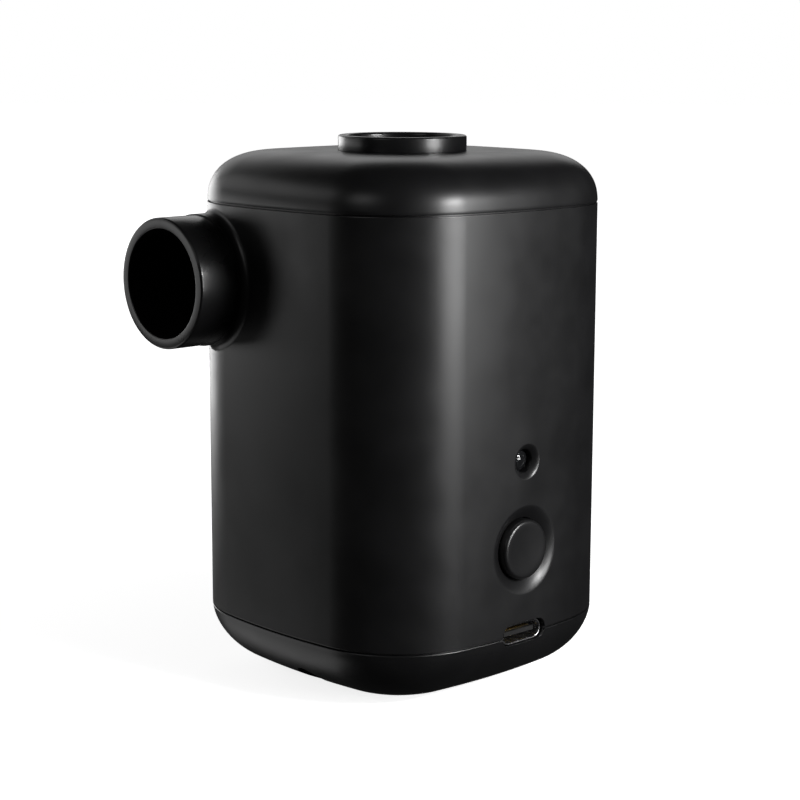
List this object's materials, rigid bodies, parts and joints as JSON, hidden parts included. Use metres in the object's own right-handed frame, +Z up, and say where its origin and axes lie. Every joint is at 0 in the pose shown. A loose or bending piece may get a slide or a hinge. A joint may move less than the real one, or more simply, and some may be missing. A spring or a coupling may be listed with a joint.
{
  "type": "electric air mattress pump",
  "caption": "Compact rechargeable pump with a rounded square body, a top inlet collar, a side outlet nozzle, a push button, a lamp and a USB-C charging port.",
  "frame": {"origin": "centre of the foot pad's resting face, below the centre of the inlet collar", "axes": "+Z up along the impeller axis and the inlet collar; the outlet nozzle points along -X; the button, lamp and charging port face -Y"},
  "size_m": [0.0644, 0.0561, 0.0881],
  "materials": {
    "body_plastic": "fine satin texture, charcoal black",
    "port_plastic": "smooth satin, charcoal black",
    "guard_plastic": "matte black",
    "foot_rubber": "matte black",
    "seal_rubber": "matte black",
    "inner_plastic": "matte dark grey",
    "impeller_plastic": "natural light grey",
    "end_cap_plastic": "matte black",
    "holder_plastic": "matte black",
    "button_plastic": "satin, charcoal black",
    "chip_plastic": "moulded epoxy, black",
    "connector_plastic": "natural white nylon",
    "tongue_plastic": "black",
    "led_body": "white with a yellow phosphor window",
    "lens_clear": "clear smoky light pipe",
    "board_laminate": "green solder mask",
    "wire_red": "silicone insulation, red",
    "wire_black": "silicone insulation, black",
    "sleeve_foam": "foam, black",
    "cell_wrap": "blue shrink sleeve over a drawn can",
    "nickel_strip": "bright nickel",
    "can_steel": "zinc plated",
    "shaft_steel": "ground",
    "core_steel": "laminated electrical steel",
    "port_steel": "nickel plated",
    "zinc_screw": "zinc plated",
    "bush_bronze": "sintered bronze",
    "spring_brass": "bright",
    "winding_copper": "enamelled copper",
    "contact_gold": "gold flash",
    "ferrite": "sintered ferrite, dark grey",
    "capacitor_ceramic": "tan multilayer chip"
  },
  "bodies": {
    "housing": {"body_shell": "body_plastic", "top_cover": "body_plastic", "bottom_cover": "body_plastic", "foot_pad": "foot_rubber", "inlet_collar": "port_plastic", "inlet_guard": "guard_plastic", "inlet_gasket": "seal_rubber", "outlet_nozzle": "port_plastic", "outlet_seal": "seal_rubber", "volute_casing": "inner_plastic", "volute_cover": "inner_plastic", "volute_screws": "zinc_screw", "motor_can": "can_steel", "motor_end_cap": "end_cap_plastic", "motor_front_bush": "bush_bronze", "motor_rear_bush": "bush_bronze", "magnet_left": "ferrite", "magnet_right": "ferrite", "motor_brushes": "spring_brass", "motor_terminals": "spring_brass", "motor_damper": "seal_rubber", "motor_sleeve": "sleeve_foam", "motor_screws": "zinc_screw", "battery_holder": "holder_plastic", "battery_cell_left": "cell_wrap", "battery_cell_right": "cell_wrap", "battery_tabs": "nickel_strip", "circuit_board": "board_laminate", "board_screws": "zinc_screw", "usb_c_shell": "port_steel", "usb_c_tongue": "tongue_plastic", "usb_c_contacts": "contact_gold", "switch_body": "chip_plastic", "switch_frame": "port_steel", "switch_pins": "port_steel", "light_pipe": "lens_clear", "status_led": "led_body", "power_inductor": "chip_plastic", "controller_chip": "chip_plastic", "charge_chip": "chip_plastic", "board_capacitors": "capacitor_ceramic", "battery_connector": "connector_plastic", "motor_lead_red": "wire_red", "motor_lead_black": "wire_black", "battery_lead_red": "wire_red", "battery_lead_black": "wire_black", "case_screws": "zinc_screw"},
    "rotor": {"impeller": "impeller_plastic", "motor_shaft": "shaft_steel", "armature_core": "core_steel", "armature_windings": "winding_copper", "commutator": "winding_copper"},
    "power_button": {"power_button": "button_plastic", "switch_plunger": "chip_plastic"}
  },
  "joints": [
    {"name": "rotor_spin", "type": "hinge", "parent": "housing", "child": "rotor", "pos_m": [0, 0, 0.04], "axis": [0, 0, 1], "continuous": true},
    {"name": "power_button_press", "type": "slide", "parent": "housing", "child": "power_button", "axis": [0, 1, 0], "range_m": [0, 0.0005], "stiffness_N_per_m": 1500, "springref_m": -0.0004}
  ]
}
